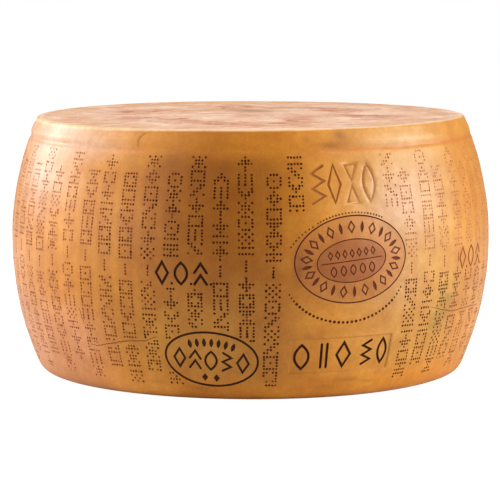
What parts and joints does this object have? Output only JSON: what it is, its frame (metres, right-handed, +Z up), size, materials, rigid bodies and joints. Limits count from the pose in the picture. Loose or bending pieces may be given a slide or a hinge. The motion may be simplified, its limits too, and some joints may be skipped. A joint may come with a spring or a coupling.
{
  "type": "whole wheel of hard grating cheese",
  "caption": "Whole drum-shaped wheel of aged hard grating cheese, with a barrelled rind pressed with dots, rings and a plate mark, resting on its flat face.",
  "frame": {"origin": "centre of the flat lower face that the wheel rests on", "axes": "+Z up along the wheel's axis; the marked front of the rind faces -Y"},
  "size_m": [0.45, 0.4505, 0.2406],
  "materials": {
    "rind": "waxy golden-orange rind, satin"
  },
  "bodies": {
    "root": {"cheese_wheel": "rind"}
  },
  "joints": []
}
